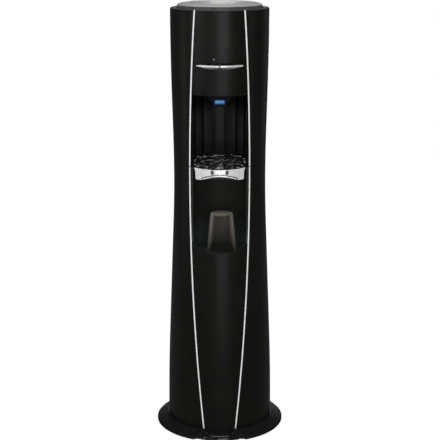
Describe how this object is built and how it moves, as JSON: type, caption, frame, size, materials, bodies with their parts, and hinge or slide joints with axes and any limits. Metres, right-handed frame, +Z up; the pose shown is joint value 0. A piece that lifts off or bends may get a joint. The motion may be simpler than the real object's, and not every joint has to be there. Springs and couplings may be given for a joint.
{
  "type": "water dispenser",
  "caption": "Free-standing hourglass water dispenser with two silver levers, a ribbed alcove, a pull-out drip tray, a cup niche, a flanged foot and a domed lid.",
  "frame": {"origin": "centre of the column on the floor", "axes": "+Z up, the front with the levers faces -Y, +X to the right when facing the front"},
  "size_m": [0.336, 0.333, 1.1162],
  "materials": {
    "satin_black": "satin black moulded plastic",
    "gloss_black": "glossy black moulded plastic",
    "matte_black": "fine-textured matte black plastic",
    "silver": "silver paint, satin",
    "clear_cup": "clear, slightly smoked tumbler",
    "blue_lens": "lit blue window",
    "lamp_lens": "pale indicator lens",
    "rubber": "black rubber",
    "stainless": "stainless steel",
    "galvanised": "galvanised sheet steel",
    "screw_steel": "dark plated steel",
    "white_plastic": "white moulded plastic",
    "foam": "rigid insulating foam",
    "silicone": "translucent silicone hose",
    "compressor_black": "black enamel",
    "copper": "bare copper",
    "board_green": "green circuit board",
    "hot_red": "red rocker",
    "cold_blue": "blue rocker"
  },
  "bodies": {
    "cabinet": {"base_flange": "matte_black", "toe_lip": "gloss_black", "base_pan": "galvanised", "rubber_feet": "rubber", "lower_left_panel": "satin_black", "lower_right_panel": "satin_black", "rear_panel": "matte_black", "panel_screws": "screw_steel", "lower_front_panel": "satin_black", "control_board": "board_green", "cup_niche": "satin_black", "mid_deck": "matte_black", "upper_shell": "satin_black", "upper_front_panel": "satin_black", "indicator_lens": "lamp_lens", "left_lower_trim": "silver", "right_lower_trim": "silver", "left_upper_trim": "silver", "right_upper_trim": "silver", "alcove_liner": "satin_black", "spout_hood": "gloss_black", "light_lens": "blue_lens", "nozzles": "matte_black", "valves": "white_plastic", "lever_pin": "stainless", "lever_bracket": "galvanised", "microswitches": "matte_black", "tank_deck": "galvanised", "tank_stand": "galvanised", "foam_jacket": "foam", "cold_tank": "stainless", "evaporator_sleeve": "stainless", "tank_cover": "white_plastic", "top_ring": "satin_black", "bottle_well": "white_plastic", "feed_spike": "white_plastic", "bottle_collar": "gloss_black", "hot_tank": "stainless", "heater_band": "stainless", "hot_jacket": "foam", "hot_strap": "galvanised", "water_tubes": "silicone", "compressor": "compressor_black", "grommets": "rubber", "relay_box": "matte_black", "condenser_coil": "compressor_black", "condenser_rails": "compressor_black", "refrigerant_lines": "copper", "power_inlet": "matte_black", "switch_frame": "matte_black"},
    "hot_lever": {"hot_lever": "silver"},
    "cold_lever": {"cold_lever": "silver"},
    "tray": {"drip_tray": "gloss_black", "tray_fascia": "silver"},
    "grille": {"drip_grille": "gloss_black"},
    "lid": {"top_lid": "silver"},
    "cup": {"cup": "clear_cup"},
    "hot_switch": {"hot_switch": "hot_red"},
    "cold_switch": {"cold_switch": "cold_blue"},
    "drain_cap": {"drain_cap": "matte_black"}
  },
  "joints": [
    {"name": "hot_lever_press", "type": "hinge", "parent": "cabinet", "child": "hot_lever", "pos_m": [-0.026, -0.104, 0.966], "axis": [1, 0, 0], "range_deg": [0, 7], "stiffness_Nm_per_rad": 1},
    {"name": "cold_lever_press", "type": "hinge", "parent": "cabinet", "child": "cold_lever", "pos_m": [0.026, -0.104, 0.966], "axis": [1, 0, 0], "range_deg": [0, 7], "stiffness_Nm_per_rad": 1},
    {"name": "tray_slide", "type": "slide", "parent": "cabinet", "child": "tray", "axis": [0, -1, 0], "range_m": [0, 0.14]},
    {"name": "grille_lift", "type": "slide", "parent": "tray", "child": "grille", "axis": [0, 0, 1], "range_m": [0, 0.06]},
    {"name": "lid_lift", "type": "slide", "parent": "cabinet", "child": "lid", "axis": [0, 0, 1], "range_m": [0, 0.15]},
    {"name": "cup_out", "type": "slide", "parent": "cabinet", "child": "cup", "axis": [0, -0.9, 0.4359], "range_m": [0, 0.16]},
    {"name": "hot_switch_tip", "type": "hinge", "parent": "cabinet", "child": "hot_switch", "pos_m": [-0.013, 0.13227, 0.172], "axis": [1, 0, 0], "range_deg": [0, 16]},
    {"name": "cold_switch_tip", "type": "hinge", "parent": "cabinet", "child": "cold_switch", "pos_m": [0.013, 0.13227, 0.172], "axis": [1, 0, 0], "range_deg": [0, 16]},
    {"name": "drain_cap_off", "type": "slide", "parent": "cabinet", "child": "drain_cap", "axis": [0, 1, 0], "range_m": [0, 0.03]}
  ]
}
